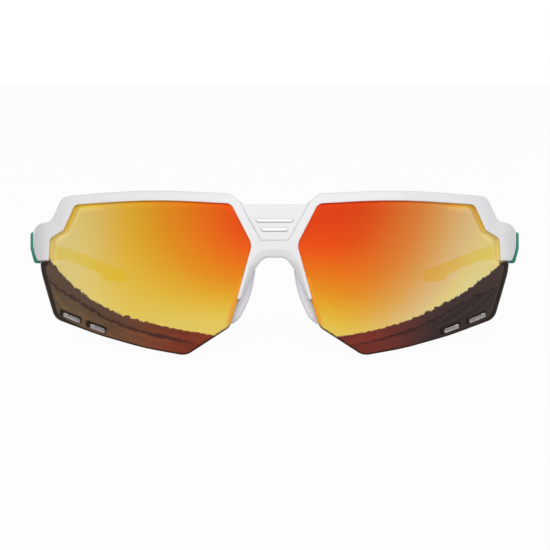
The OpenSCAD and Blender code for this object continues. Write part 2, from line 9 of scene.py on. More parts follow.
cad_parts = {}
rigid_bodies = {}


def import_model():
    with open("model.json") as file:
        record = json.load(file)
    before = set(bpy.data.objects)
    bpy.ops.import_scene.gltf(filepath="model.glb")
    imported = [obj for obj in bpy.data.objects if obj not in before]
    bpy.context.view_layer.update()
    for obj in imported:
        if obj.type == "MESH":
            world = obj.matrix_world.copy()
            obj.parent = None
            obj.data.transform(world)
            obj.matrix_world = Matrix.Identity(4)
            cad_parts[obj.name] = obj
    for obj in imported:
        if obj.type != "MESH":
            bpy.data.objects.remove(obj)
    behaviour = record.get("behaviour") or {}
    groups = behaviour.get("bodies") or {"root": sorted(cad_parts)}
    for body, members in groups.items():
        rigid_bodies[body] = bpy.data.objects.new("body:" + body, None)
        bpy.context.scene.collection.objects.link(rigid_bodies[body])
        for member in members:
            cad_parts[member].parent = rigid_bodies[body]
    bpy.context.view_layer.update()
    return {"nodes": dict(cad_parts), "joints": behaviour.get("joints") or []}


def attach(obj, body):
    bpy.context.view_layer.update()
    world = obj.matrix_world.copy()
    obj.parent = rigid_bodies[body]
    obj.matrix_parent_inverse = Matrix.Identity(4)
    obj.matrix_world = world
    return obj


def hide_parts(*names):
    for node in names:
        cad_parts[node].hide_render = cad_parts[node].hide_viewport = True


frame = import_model()
for thing in list(bpy.data.objects):
    if thing.type in {"LIGHT", "CAMERA"}:
        bpy.data.objects.remove(thing)
print("stage 1: frame loaded,", len(frame["nodes"]), "nodes")

# The glasses are shaped as worn, in millimetres: x to the wearer's left, y back, z up from the
# height of the eyes. They then tip back onto their lens feet and temple tips.
worn = {
    "baseRadius": 93.3,     # front surface of the frame
    "rimDepth": 4.8,        # rim, front to back
    "lensSet": 1.3,         # how far the lenses lie behind the frame's front
    "lensDepth": 2.0,       # lens thickness
    "pin": (36.73, 7.8),    # hinge pin, back and up
}
pinY, pinZ = worn["pin"]

leftFold = next(j for j in frame["joints"] if j["name"] == "fold_left")
hingeAxis = leftFold["axis"]
hingeSpot = leftFold["pos_m"]
tipBack = math.atan2(hingeAxis[1], hingeAxis[2])
cosTip = math.cos(tipBack)
sinTip = math.sin(tipBack)
shiftY = hingeSpot[1] * 1000 - (pinY * cosTip + pinZ * sinTip)
shiftZ = hingeSpot[2] * 1000 - (pinZ * cosTip - pinY * sinTip)


# worn millimetres to the standing object's metres
def stand(points):
    p = np.asarray(points, dtype=float).reshape(-1, 3)
    y = p[:, 1] * cosTip + p[:, 2] * sinTip + shiftY
    z = p[:, 2] * cosTip - p[:, 1] * sinTip + shiftZ
    return np.column_stack([p[:, 0], y, z]) / 1000


# depth of a sphere about the base centre, under a place on the front
def shellY(x, z, radius):
    return worn["baseRadius"] - np.sqrt(radius * radius - x * x - z * z)


def onShell(p, radius):
    x, z = p.T
    return np.column_stack([x, shellY(x, z, radius), z])


def unit(v):
    return v / np.linalg.norm(v)


# corners are (across, up, radius); each becomes an arc that touches both sides
def roundedLoop(corners, arcStep=8, arcRun=1.5):
    points = []
    count = len(corners)
    for i in range(count):
        before, here, after = (np.array(corners[k][:2], float) for k in (i - 1, i, (i + 1) % count))
        radius = corners[i][2]
        if radius <= 0:
            points.append(here)
            continue
        u = unit(before - here)
        v = unit(after - here)
        half = math.acos(max(-1, min(1, float(u @ v)))) / 2
        run = min(radius / math.tan(half), 0.49 * np.linalg.norm(before - here),
                  0.49 * np.linalg.norm(after - here))
        bend = run * math.tan(half)
        hub = here + unit(u + v) * bend / math.sin(half)
        start = here + u * run - hub
        finish = here + v * run - hub
        turn = math.atan2(start[0] * finish[1] - start[1] * finish[0], float(start @ finish))
        steps = max(1, math.ceil(abs(math.degrees(turn)) / arcStep), math.ceil(abs(turn) * bend / arcRun))
        for k in range(steps + 1):
            a = turn * k / steps
            points.append(hub + [start[0] * math.cos(a) - start[1] * math.sin(a),
                                 start[0] * math.sin(a) + start[1] * math.cos(a)])
    return np.array(points)


# splits long sides so that none is longer than step
def divided(loop, step, closed=True):
    ends = np.vstack([loop, loop[:1]]) if closed else loop
    out = []
    for a, b in zip(ends, ends[1:]):
        parts = max(1, math.ceil(np.linalg.norm(b - a) / step))
        out += [a + (b - a) * k / parts for k in range(parts)]
    return np.array(out if closed else [*out, loop[-1]])


def insideLoop(points, loop):
    inside = np.zeros(len(points), bool)
    x, y = points.T
    for a, b in zip(loop, np.roll(loop, -1, axis=0)):
        if a[1] == b[1]:
            continue
        crosses = (a[1] > y) != (b[1] > y)
        inside ^= crosses & (x < (b[0] - a[0]) * (y - a[1]) / (b[1] - a[1]) + a[0])
    return inside


# distance of each point to a line of points
def gapTo(points, line, closed=True):
    ends = np.roll(line, -1, axis=0) if closed else line[1:]
    starts = line if closed else line[:-1]
    best = np.full(len(points), 1e9)
    for a, b in zip(starts, ends):
        run = b - a
        size = max(float(run @ run), 1e-12)
        t = np.clip(((points - a) @ run) / size, 0, 1)
        best = np.minimum(best, np.linalg.norm(points - (a + t[:, None] * run), axis=1))
    return best


# distance of each point to the nearest of some loops
def nearestGap(points, loops):
    return np.min([gapTo(points, loop) for loop in loops], axis=0)


# points inside the first loop and outside all others
def betweenLoops(points, loops):
    inside = insideLoop(points, loops[0])
    for hole in loops[1:]:
        inside &= ~insideLoop(points, hole)
    return inside


# unit normals of directions, to their right
def normalsTo(along, least=0):
    normal = np.column_stack([along[:, 1], -along[:, 0]])
    return normal / (np.linalg.norm(normal, axis=1)[:, None] + least)


def loopNormals(loop):
    return normalsTo(np.roll(loop, -1, axis=0) - np.roll(loop, 1, axis=0), 1e-9)


# keeps the part of a loop that lies above or below a limit along one axis
def clipped(loop, axis, limit, keepAbove):
    sign = 1 if keepAbove else -1
    out = []
    for a, b in zip(loop, np.roll(loop, -1, axis=0)):
        da = sign * (a[axis] - limit)
        db = sign * (b[axis] - limit)
        if da >= 0:
            out.append(a)
        if (da >= 0) != (db >= 0):
            out.append(a + (b - a) * da / (da - db))
    return np.array(out)


# how far a face has fallen at a distance from its rounded edge
def roundOff(gap, radius):
    reach = np.clip(radius - gap, 0, radius)
    return radius - np.sqrt(np.maximum(radius * radius - reach * reach, 0))


def smooth(edge0, edge1, value):
    t = np.clip((value - edge0) / (edge1 - edge0), 0, 1)
    return t * t * (3 - 2 * t)


sides = (("left", 1), ("right", -1))


def placed(name, data):
    thing = bpy.data.objects.new(name, data)
    bpy.context.collection.objects.link(thing)
    return thing


meshing = {
    "edgeRows": (0.076, 0.293, 0.617, 1.0),   # rows of points over a rounded edge, as shares of its radius
    "rowHeight": 0.866,     # between the grid's rows, as a share of the spacing
    "gridClear": 0.35,      # from a rounded edge to the grid, as a share of the spacing
    "lineClear": 0.055,     # from the outline to the nearest other row of points
    "cell": 0.05,           # no cell of this size holds two points
    # rows on both sides of a step in a face, and across the bridge's groove
    "stepSides": (-0.06, 0.06), "grooveRows": (-0.25, -0.15, -0.05, 0.05, 0.15, 0.25),
    "sharpAngle": 38,
}


def cellOf(point):
    return round(point[0] / meshing["cell"]), round(point[1] / meshing["cell"])


# the outline's points and those between its loops: extra lines first, then rows at the edges and a grid
def flatPoints(loops, edgeRadius, spacing, extra):
    boundary = np.vstack(loops)
    radii = edgeRadius(boundary)
    seeds = []
    start = 0
    for loop in loops:
        normal = loopNormals(loop)
        reach = radii[start:start + len(loop)][:, None]
        for row in meshing["edgeRows"]:
            for side in (1, -1):
                seeds.append(loop + normal * reach * row * side)
        start += len(loop)
    low = boundary.min(axis=0)
    high = boundary.max(axis=0)
    across = np.arange(low[0], high[0], spacing)
    up = np.arange(low[1], high[1], spacing * meshing["rowHeight"])
    grid = np.array([[x + (0.5 * spacing if k % 2 else 0), y] for k, y in enumerate(up) for x in across])
    taken = {cellOf(p) for p in boundary}
    chosen = []
    for points in [*extra, np.vstack(seeds), grid]:
        isGrid = points is grid
        points = points[betweenLoops(points, loops)]
        if not len(points):
            continue
        need = edgeRadius(points) + meshing["gridClear"] * spacing if isGrid else meshing["lineClear"]
        for p in points[nearestGap(points, loops) > need]:
            if cellOf(p) not in taken:
                taken.add(cellOf(p))
                chosen.append(p)
    return np.vstack([boundary, np.array(chosen)])


# A closed piece with two faces over one flat outline with holes. near and far take flat places, their
# distance to the outline and the fall of the rounded edge there, and give worn places.
def facedPiece(name, loops, near, far, edgeRadius, spacing, extra=(), marks=None):
    loops = [divided(loop, spacing) for loop in loops]
    flat = flatPoints(loops, edgeRadius, spacing, extra)
    edges = []
    start = 0
    for loop in loops:
        count = len(loop)
        edges += [(start + i, start + (i + 1) % count) for i in range(count)]
        start += count
    verts, _, faces, origin, _, _ = geometry.delaunay_2d_cdt([tuple(p) for p in flat], edges, [], 0, 1e-5)
    flat = np.array([(v[0], v[1]) for v in verts])
    place = {old: new for new, olds in enumerate(origin) for old in olds}
    middles = np.array([flat[list(f)].mean(axis=0) for f in faces])
    faces = [f for f, inside in zip(faces, betweenLoops(middles, loops)) if inside]
    gap = nearestGap(flat, loops)
    fall = roundOff(gap, edgeRadius(flat))
    top = near(flat, gap, fall)
    base = far(flat, gap, fall)
    count = len(flat)
    allFaces = []
    for f in faces:
        a, b, c = (flat[i] for i in f)
        turn = (b[0] - a[0]) * (c[1] - a[1]) - (b[1] - a[1]) * (c[0] - a[0])
        f = tuple(f) if turn > 0 else tuple(reversed(f))
        allFaces.append(f)
        allFaces.append(tuple(i + count for i in reversed(f)))
    facePart = [0, 1] * len(faces)    # near, far, and 2 for the wall between them
    for a, b in edges:
        a, b = place[a], place[b]
        if a != b:
            allFaces.append((a, b, b + count, a + count))
            facePart.append(2)
    mesh = bpy.data.meshes.new(name)
    mesh.from_pydata([tuple(p) for p in stand(np.vstack([top, base]))], [], allFaces)
    if marks:
        for label, values in marks(flat, gap).items():
            layer = mesh.attributes.new(label, "FLOAT", "POINT")
            layer.data.foreach_set("value", np.concatenate([values, values]).astype(np.float32))
    parts = mesh.attributes.new("facePart", "INT", "FACE")
    parts.data.foreach_set("value", facePart)
    return tidyMesh(placed(name, mesh))


def tidyMesh(piece):
    work = bmesh.new()
    work.from_mesh(piece.data)
    bmesh.ops.delete(work, geom=[v for v in work.verts if not v.link_faces], context="VERTS")
    bmesh.ops.recalc_face_normals(work, faces=work.faces[:])
    work.to_mesh(piece.data)
    work.free()
    piece.data.shade_smooth()
    piece.data.set_sharp_from_angle(angle=math.radians(meshing["sharpAngle"]))
    return piece


# lines beside a loop, on both its sides, at some distances
def offsetRows(loop, distances):
    normal = loopNormals(loop)
    return [loop + normal * d * side for d in distances for side in (1, -1)]


def mirrored(loop):
    return np.column_stack([-loop[::-1, 0], loop[::-1, 1]])


def maths(operation, swapped=False):
    return lambda self, other: self.graph.calc(operation, *((other, self) if swapped else (self, other)))


# a socket that can be used in plain arithmetic
class Flow:
    def __init__(self, graph, socket):
        self.graph = graph
        self.socket = socket

    __add__ = __radd__ = maths("ADD")
    __mul__ = __rmul__ = maths("MULTIPLY")
    __sub__ = maths("SUBTRACT")
    __rsub__ = maths("SUBTRACT", swapped=True)
    __truediv__ = maths("DIVIDE")
    __rtruediv__ = maths("DIVIDE", swapped=True)
    __pow__ = maths("POWER")
    atLeast = maths("MAXIMUM")
    atMost = maths("MINIMUM")

    def __abs__(self):
        return self.graph.calc("ABSOLUTE", self)

    def step(self, low, high):
        return self.graph.add("MapRange", {"Value": self, "From Min": low, "From Max": high},
                              interpolation_type="SMOOTHSTEP")


# the nodes of one material or world, with one way of adding a node
class Finish:
    def __init__(self, name, isWorld=False):
        self.owner = (bpy.data.worlds if isWorld else bpy.data.materials).new(name)
        self.owner.use_nodes = True
        self.tree = self.owner.node_tree
        self.tree.nodes.clear()
        self.output = self.tree.nodes.new("ShaderNodeOutput" + ("World" if isWorld else "Material"))

    def add(self, kind, values, give=0, **settings):
        node = self.tree.nodes.new("ShaderNode" + kind)
        for key, value in settings.items():
            if key == "stops":
                ramp = node.color_ramp
                while len(ramp.elements) < len(value):
                    ramp.elements.new(0.5)
                for element, (spot, colour) in zip(ramp.elements, value):
                    element.position = spot
                    element.color = colour
            else:
                setattr(node, key, value)
        for key, value in values.items():
            if isinstance(value, Flow):
                self.tree.links.new(value.socket, node.inputs[key])
            else:
                node.inputs[key].default_value = value
        if isinstance(give, tuple):
            return [Flow(self, node.outputs[key]) for key in give]
        return Flow(self, node.outputs[give])

    def calc(self, operation, *values):
        return self.add("Math", dict(enumerate(values)), operation=operation)

    def mix(self, factor, first, second, blend="MIX"):
        return self.add("Mix", {0: factor, 6: first, 7: second}, 2, data_type="RGBA",
                        blend_type=blend)

    def scaled(self, colour, share):
        return self.add("VectorMath", {0: colour, "Scale": share}, operation="SCALE")

    def noise(self, spots, scale, detail, **more):
        return self.add("TexNoise", {"Vector": spots, "Scale": scale, "Detail": detail, **more})

    def attribute(self, name):
        return self.add("Attribute", {}, "Fac", attribute_name=name)

    def coordinates(self):
        return self.add("TexCoord", {}, "Object")

    # 1 for what the camera sees, also in a mirror or through glass
    def inSight(self):
        camera, glossy, through = self.add("LightPath", {}, (
            "Is Camera Ray", "Is Glossy Ray", "Is Transmission Ray"))
        return camera.atLeast(glossy).atLeast(through)

    def finishWith(self, flow):
        self.tree.links.new(flow.socket, self.output.inputs["Surface"])
        return self.owner


def tone(code):
    values = [int(code[i:i + 2], 16) / 255 for i in (0, 2, 4)]
    return tuple(v / 12.92 if v <= 0.04045 else ((v + 0.055) / 1.055) ** 2.4 for v in values) + (1.0,)


# a plain material, whose colour and roughness drift slightly; its grain has a noise of its own, or is the
# drift's where strokes run along the axis that has a small value in brush
def plainFinish(name, look):
    finish = Finish(name)
    spots = finish.coordinates()
    if "brush" in look:
        spots = finish.add("Mapping", {"Vector": spots, "Scale": look["brush"]})
    drift = finish.noise(spots, look["driftScale"], look["driftDetail"])
    values = {
        "Base Color": finish.mix(drift.step(*look["driftStep"]), tone(look["colour"]), tone(look["drift"])),
        "Roughness": look["roughness"] + (drift - 0.5) * look["roughDrift"], **look["fixed"]}
    if "grain" in look:
        grain = finish.noise(spots, look["grainScale"], 2.0) if "grainScale" in look else drift
        values["Normal"] = finish.add("Bump", {
            "Height": grain, "Strength": look["grain"], "Distance": look["grainDepth"]})
    return finish.finishWith(finish.add("BsdfPrincipled", values))


def shine(level):
    return {"Specular IOR Level": level}


moulded = {"driftScale": 45.0, "driftDetail": 3.0, "driftStep": (0.3, 0.7), "roughDrift": 0.08,
           "grainScale": 3500.0, "grain": 0.3, "grainDepth": 0.0001, "fixed": shine(0.3)}
brushed = {"driftScale": 900.0, "driftDetail": 4.0, "driftStep": (0.35, 0.65), "roughDrift": 0.15,
           "grain": 0.15, "grainDepth": 0.00005, "fixed": {"Metallic": 1.0}}
whiteMoulding = plainFinish("frameWhite", {
    **moulded, "colour": "EEEEEF", "drift": "E9E9EB", "driftScale": 60.0, "grainScale": 5000.0,
    "grain": 0.08, "roughness": 0.5, "roughDrift": 0.06, "fixed": shine(0.08)})
tealMoulding = plainFinish("templeTeal", {
    **moulded, "colour": "2B8A77", "drift": "27806E", "grainScale": 5000.0, "grain": 0.1,
    "roughness": 0.42, "fixed": shine(0.45)})
tealRubber = plainFinish("tipRubber", {**moulded, "colour": "277C6C", "drift": "236F61", "roughness": 0.68})
greyRubber = plainFinish("padRubber", {
    **moulded, "colour": "F0F1F8", "drift": "E9EAF3", "driftScale": 90.0, "roughness": 0.62})
ventWall = plainFinish("ventWall", {
    **moulded, "colour": "CFC9C8", "drift": "BDB6B6", "driftScale": 400.0, "grainScale": 3000.0,
    "grain": 0.2, "roughness": 0.45, "roughDrift": 0.1, "fixed": shine(0.4)})
hingeSteel = plainFinish("hingeSteel", {
    **brushed, "colour": "C9C9CB", "drift": "AFAFB2", "roughness": 0.32, "brush": (1.0, 0.08, 1.0)})
screwSteel = plainFinish("screwSteel", {
    **brushed, "colour": "A9A9AC", "drift": "8F8F93", "roughness": 0.28, "brush": (1.0, 1.0, 0.1)})
print("stage 2: moulded and steel finishes made")


# The coated side of a lens runs from deep orange at the nose and the top to pale gold at the temple and
# low down, over a dark zone whose ragged edge climbs towards the temple: a painted reflection of a far
# horizon and the dark ground below it. Distances are worn millimetres.
# Three marks on the mesh are 1 at their own place and fade to 0: one on the dark band at the free edge
# and on painted shade round the vents, "noseEdge" along the free nose edge, and "nearFrame" at the white
# frame.
def coatedLens(name, look):
    finish = Finish(name)
    spots = finish.coordinates()
    x, y, z = finish.add("SeparateXYZ", {0: spots}, ("X", "Y", "Z"))
    side = abs(x) * 1000
    height = (z * 1000 - shiftZ) * cosTip + (y * 1000 - shiftY) * sinTip
    aside = side - look["noseSide"]
    drop = look["sinkFrom"] - height
    sink = drop * look["sink"] + drop * drop * look["sinkMore"]
    turn = side.step(*look["spread"]) + sink * (1 - aside * look["fade"])
    place = (turn + rampBefore) / rampLength
    rich = finish.add("ValToRGB", {"Fac": place}, stops=look["rich"])
    pale = finish.add("ValToRGB", {"Fac": place}, stops=look["pale"])
    paleness = side.step(*look["paleFrom"])
    brightness = look["glow"] + drop * look["glowFall"] + side.step(*look["glowFrom"]) * look["glowSide"]
    gold = finish.scaled(finish.mix(paleness, rich, pale), brightness)
    blue = finish.add("SeparateColor", {"Color": gold}, "Blue")

    # painted reflection: the horizon zone's edge, with the depth below it
    run = aside.atLeast(0)
    ragged = finish.noise(spots, look["specks"], 6.0, Roughness=0.7)
    climb = (run / look["zoneRun"]) ** look["zoneBend"] * look["zoneClimb"]
    edge = look["zoneFoot"] + run * look["zoneSlope"] + climb
    depth = edge + (ragged - 0.5) * (look["ragged"] + run * look["raggedMore"]) - height
    inPaintedReflection = depth.step(-look["zoneBlur"], look["zoneBlur"])

    # painted reflection: streaks that run along the zone, and one darker line
    along = finish.add("CombineXYZ", {
        "X": side * look["streakAlong"], "Y": depth * look["streakAcross"], "Z": look["seed"]})
    streaks = finish.noise(along, 1.0, 5.0, Roughness=0.55)
    mottle = finish.noise(spots, look["specks"], 4.0)
    noseward = side.step(*look["redder"])
    ground = finish.mix(noseward, tone(look["groundOuter"]), tone(look["groundInner"]))
    deep = finish.mix(noseward, tone(look["deepOuter"]), tone(look["deepInner"]))
    blend = streaks.step(*look["streakStep"]) * look["streakShare"] + (mottle - 0.5) * look["mottle"]
    streaked = finish.mix(blend.atLeast(0).atMost(1), ground, deep)
    lineAt = look["lineDepth"] + side.step(*look["lineTurns"]) * look["lineFall"]
    shade = (lineAt - depth).step(*look["shadeBlur"]) * (look["shade"] - noseward * look["shadeNose"])
    shaded = finish.mix(shade * side.step(*look["shadeFrom"]), streaked, deep)
    line = 1 - abs(depth - lineAt).step(look["lineHalf"], look["lineHalf"] + look["lineBlur"])
    lined = finish.mix(line * look["lineShare"] * side.step(*look["lineFrom"]), shaded, tone(look["line"]))

    # the pale coating lets some bluish light through, and its own colour makes up for that
    beside = finish.attribute("nearFrame")
    rim = finish.attribute("rim")
    film = blue * (1 - inPaintedReflection) * (1 - beside.step(*look["filmEnds"])) * (1 - rim) * look["film"]
    fromBehind = finish.scaled(look["filmTint"], film * look["behind"])
    left = finish.add("VectorMath", {0: gold, 1: fromBehind}, operation="SUBTRACT")
    coating = finish.mix(inPaintedReflection, finish.scaled(left, 1 / (1 - film)), lined)

    # painted light beside the frame, against the shade of its overhang; yellow at its upper temple corner,
    # orange along the nose edge, dark at the edge band and with painted shade round the vents
    # painted light: the lens is brightened next to the frame, at the temple and along the top
    temple = side.step(*look["templeFrom"])
    top = beside * height.step(*look["topFrom"]) * look["paintedLightTop"]
    lift = beside * temple.atLeast(top) * look["paintedLightBeside"]
    corner = beside.step(*look["tintEdge"]) * temple * height.step(*look["tintFrom"]) * look["tintShare"]
    deeper = finish.mix(corner, finish.scaled(coating, 1 + lift), tone(look["besideFrame"]), "MULTIPLY")
    nose = finish.attribute("noseEdge")
    glowing = finish.mix(nose * look["noseShare"], deeper, tone(look["noseColour"]))
    edged = finish.mix(rim * look["edgeDark"], glowing, tone(look["edgeColour"]))
    ridge = rim * (1 - rim) * side.step(*look["ridgeFrom"])
    ridged = finish.mix(ridge * look["ridgeShare"], edged, tone(look["ridge"]))
    haze = finish.noise(spots, 30.0, 1.0)
    body = finish.add("BsdfPrincipled", {
        "Base Color": ridged, "Roughness": look["roughness"] + (haze - 0.5) * 0.04 + rim * look["rimRough"],
        "Metallic": look["mirror"] * (1 - rim) * (1 - nose * look["noseDull"]), "Specular IOR Level": 0.1})
    through = finish.add("BsdfTransparent", {"Color": look["filmTint"] + (1,)})
    return finish.finishWith(finish.add("MixShader", {0: film, 1: body, 2: through}))


# the coating's colours stand at places from -0.2, at the nose and the top, to 1.2
rampBefore = 0.2
rampLength = 1.4


def stops(*pairs):
    return [((place + rampBefore) / rampLength, tone(code)) for place, code in pairs]


# pairs ending in From, Turns, redder, spread and paleFrom are places aside of the middle or heights,
# between which something sets in
coating = {
    "rich": stops((-0.2, "E04213"), (0.0, "E65013"), (0.25, "E57217"), (0.5, "E18E1E"), (0.7, "DFA52B"),
                  (0.9, "DEB53F"), (1.05, "DDBD50"), (1.2, "DCC25C")),
    "pale": stops((-0.2, "D2501E"), (0.0, "DA6226"), (0.38, "DB7E38"), (0.66, "D89D55"), (0.91, "D8B87E"),
                  (0.985, "DAC47B"), (1.05, "DBCB86"), (1.2, "DCCC8A")),
    "sinkFrom": 8, "noseSide": 15,      # the height where the colours start to sink, and the zone's nose end
    # brightness near the nose, its rise for each millimetre further down, and towards the temple
    "glow": 0.99, "glowFall": 0.006, "glowSide": 0.08, "glowFrom": (30, 58),
    # the painted reflection of a far horizon: how far its dark zone runs, how ragged its edge is, and its
    # streaks
    "zoneRun": 50, "zoneBlur": 0.18, "ragged": 1.2, "raggedMore": 0.06, "specks": 700.0,
    "streakAlong": 0.07, "streakAcross": 0.75, "streakStep": (0.36, 0.62), "streakShare": 0.75, "mottle": 0.5,
    # the painted reflection's darker line, its depth below the zone's edge, and the darker shade above it
    "lineDepth": 3.1, "lineFall": 3.2, "lineTurns": (54, 66), "lineBlur": 0.3, "lineShare": 0.75,
    "lineFrom": (16, 30), "shade": 0.85, "shadeNose": 0.35, "shadeBlur": (-0.3, 0.4), "shadeFrom": (14, 40),
    # painted light beside the white frame, against the shade of its overhang, and a tint there
    "besideFrame": "FFF080", "paintedLightBeside": 0.38, "templeFrom": (46, 50), "topFrom": (15, 18), "paintedLightTop": 0.7,
    "tintEdge": (0.5, 0.65), "tintFrom": (11, 14), "tintShare": 0.8,
    "noseColour": "F49C18", "noseShare": 0.85, "noseDull": 0.8,
    "edgeDark": 0.92, "rimRough": 0.35, "ridge": "64564A", "ridgeShare": 1.2, "ridgeFrom": (52, 60),
    # how much of the light behind the lens shows for a coating's blueness, in which colour, and what
    # share of it the inner side passes
    "film": 0.92, "filmEnds": (0.2, 0.45), "filmTint": (0.12, 0.4, 1.0), "behind": 0.65,
    "roughness": 0.16, "mirror": 0.45,
}
# each lens has its own painted reflection: its zone's foot, slope and climb, and its line, ground and deep
# colours
lensCoats = {
    "right": coatedLens("lensCoatRight", {
        **coating, "spread": (-2, 58), "sink": 0.022, "sinkMore": 0.00115, "fade": 0.024,
        "paleFrom": (39, 63), "redder": (56, 20), "zoneFoot": -16.9, "zoneSlope": 0.16, "zoneClimb": 14.0,
        "zoneBend": 3.8, "lineHalf": 0.3, "seed": 2.0, "line": "3A2626", "edgeColour": "1E150F",
        "groundOuter": "735A3F", "groundInner": "883C26", "deepOuter": "5A483A", "deepInner": "702E20"}),
    "left": coatedLens("lensCoatLeft", {
        **coating, "spread": (18, 62), "sink": 0.03, "sinkMore": 0.0007, "fade": 0.018,
        "paleFrom": (16, 44), "redder": (47, 25), "zoneFoot": -17.3, "zoneSlope": 0.12, "zoneClimb": 14.7,
        "zoneBend": 2.34, "lineHalf": 0.1, "seed": 7.0, "line": "241C1E", "edgeColour": "1E1510",
        "groundOuter": "322B2C", "groundInner": "6E312A", "deepOuter": "463633", "deepInner": "80362C"}),
}
# smoke brown, through which the coating glows a little
lensInside = plainFinish("lensInside", {
    "colour": "33261F", "drift": "2B201B", "driftScale": 25.0, "driftDetail": 1.0, "driftStep": (0.3, 0.7),
    "roughness": 0.12, "roughDrift": 0.03, "fixed": {"Alpha": 1 - coating["behind"], **shine(0.5)}})
print("stage 3: lens coating made")


# front frame, in worn millimetres; the lens opening and the outline are shares of the lens
front = {
    "lensGap": 12.4, "lensWidth": 61.3, "lensRise": 21.0, "lensDrop": 22.35,
    "bar": 2.8, "barRound": 200.0, "corner": 4.0, "bridgeTop": 19.4,
    "archTop": 4.8, "archWidth": 11.0, "archRound": 2.4,
    "legFoot": 6.6, "legTop": 1.4, "legWidth": 1.05,
    # the bridge's recess, whose sides slant, with a fine groove round it
    "recessDepth": 0.3, "recessFoot": 9.5, "recessWidth": 7.5, "recessSlant": 0.557, "slantShare": 0.87,
    "recessEdge": (-0.1, 0.1), "groove": 0.45, "grooveHalf": 0.2, "grooveFlat": 0.04,
    "slotHeight": 1.1, "slotRise": 5.4, "slotPitch": 2.5, "slotMargin": 1.7,
    "slotLift": 0.4,        # how much higher the slots come out at the back
    "endWidth": 2.6, "endTop": 14.8, "endFoot": 4.15, "endWall": 2.0, "endFall": 1.8, "endSlant": 1.7,
    "endRound": 4.2, "endDeep": 0.62,      # how far in the end pieces' fronts round off, and how strongly
    "crease": 1.6,          # flat strip round the lens opening, outside which the rim slopes back
    "creaseSlope": 0.2, "creaseWide": 4, "creaseFrom": (9, 12),
    "seatY": 33.93, "buttY": 36.58, "seatMargin": 0.3,     # back faces of the end pieces
    # rounding of the front edges, beside the lens, the slots and the legs, and at the back
    "edge": 0.5, "sharpEdge": 0.2, "backEdge": 0.25, "legZone": (13, 3), "lensZone": 1, "slotZone": 0.6,
    "facet": 2.2, "legFacet": (1.1, 2.3),  # width of the facet over the arch, and down a leg with its strip
    "archSlope": 0.55, "legSlope": 1.5,    # how steeply the facet falls away
    "archFrom": (0.8, 4.2),
    "facetStrip": 0.75,     # flat strip left beside the lens on the legs
    # fins behind the legs: corners from the front, and where they start and end
    "finCorners": [(6.87, -0.35), (7.87, -0.35), (10.59, -6.2), (9.59, -6.2)], "finDepths": (2.4, 8.2),
    "finEdge": 0.15,
}
noseX = front["lensGap"] / 2
outerX = noseX + front["lensWidth"] + front["endWidth"]


def acrossLens(share):
    return noseX + share * front["lensWidth"]


# a corner at shares of the lens's width and of its height above or below the eyes, moved by some millimetres
def lensCorner(across, up, radius, moveX=0, moveZ=0):
    return acrossLens(across) + moveX, up * front["lensRise" if up > 0 else "lensDrop"] + moveZ, radius


endInner = acrossLens(0.954)
endTip = (acrossLens(0.93), front["endFoot"])
legTip = (acrossLens(0.0665) - front["legWidth"], -front["legFoot"])
openingCorners = [(0, 0.40, 4), (0.095, 0.938, 2.4), (0.445, 1, front["barRound"]), (0.825, 0.952, 1.8),
                  (0.881, 0.605, 1.5), (0.949, 0.5, 2)]
openingLoop = roundedLoop([
    *(lensCorner(*place) for place in openingCorners), (endInner, front["endFoot"] - 1, 0),
    lensCorner(0.30, -0.8, 0), lensCorner(0.098, -0.6, 0)])

barTop = front["lensRise"] + front["bar"]
halfFrame = roundedLoop([
    (0, front["bridgeTop"], 0), (acrossLens(0.0375), front["bridgeTop"], 1.5),
    (acrossLens(0.0995), barTop - 1.3, 1.8), (acrossLens(0.486), barTop, front["barRound"]),
    (acrossLens(0.825) + front["corner"], barTop - 1.35, 2.8),
    (acrossLens(0.946), front["endTop"] + front["endFall"] / 3, 2.6),
    (outerX - front["endWall"], front["endTop"], 3), (outerX, front["endTop"] - front["endFall"], 1.5),
    (outerX, front["endFoot"] + 2 * front["endSlant"], 4),
    (outerX - front["endSlant"], front["endFoot"], 0.8), (*endTip, 0),
    (acrossLens(0.083), -front["legFoot"], 0), (*legTip, 0.3), (front["archWidth"] / 2, front["legTop"], 3),
    (front["archWidth"] / 2 - front["archRound"], front["archTop"], 1.5 * front["archRound"]),
    (0, front["archTop"], 0)])


def recessHalf(z):
    return front["recessWidth"] / 2 + front["recessSlant"] * (z - front["recessFoot"])


def slotLoop(z):
    h = front["slotHeight"] / 2
    high = recessHalf(z + h) - front["slotMargin"]
    low = recessHalf(z - h) - front["slotMargin"]
    corners = [(-high, z + h), (high, z + h), (low, z - h), (-low, z - h)]
    return roundedLoop([(*corner, 0.25) for corner in corners], 20)


slotLoops = [slotLoop(front["recessFoot"] + front["slotRise"] - i * front["slotPitch"]) for i in range(2)]


def nearest(line, point):
    return int(np.argmin(np.linalg.norm(line - np.array(point), axis=1)))


# the white plastic's outline: the frame's own, with the lens opening, whose last corners lie below the
# frame, cut in from below
def rimOutline():
    free = nearest(halfFrame, endTip)
    rise = openingLoop[:-3][::-1]
    low = openingLoop[-1]
    share = (-front["legFoot"] - low[1]) / (openingLoop[0][1] - low[1])
    legEnd = low + (openingLoop[0] - low) * share
    half = np.vstack([halfFrame[:free], [(endInner, front["endFoot"])], rise, [legEnd], halfFrame[free + 2:]])
    return np.vstack([half, mirrored(half)[1:-1]])


# the nose side of the arch and the legs, from one leg's foot over to the other's
archHalf = halfFrame[nearest(halfFrame, legTip) + 1:]
noseLine = divided(np.vstack([archHalf, mirrored(archHalf)[1:]]), 0.3, closed=False)


# width of the slanted facet: widest over the arch, and all but a strip of each leg
def facetWidth(p):
    leg = np.interp(p[:, 1], [-front["legFoot"], front["legTop"]], front["legFacet"]) - front["facetStrip"]
    return leg + (front["facet"] - leg) * smooth(*front["archFrom"], p[:, 1])


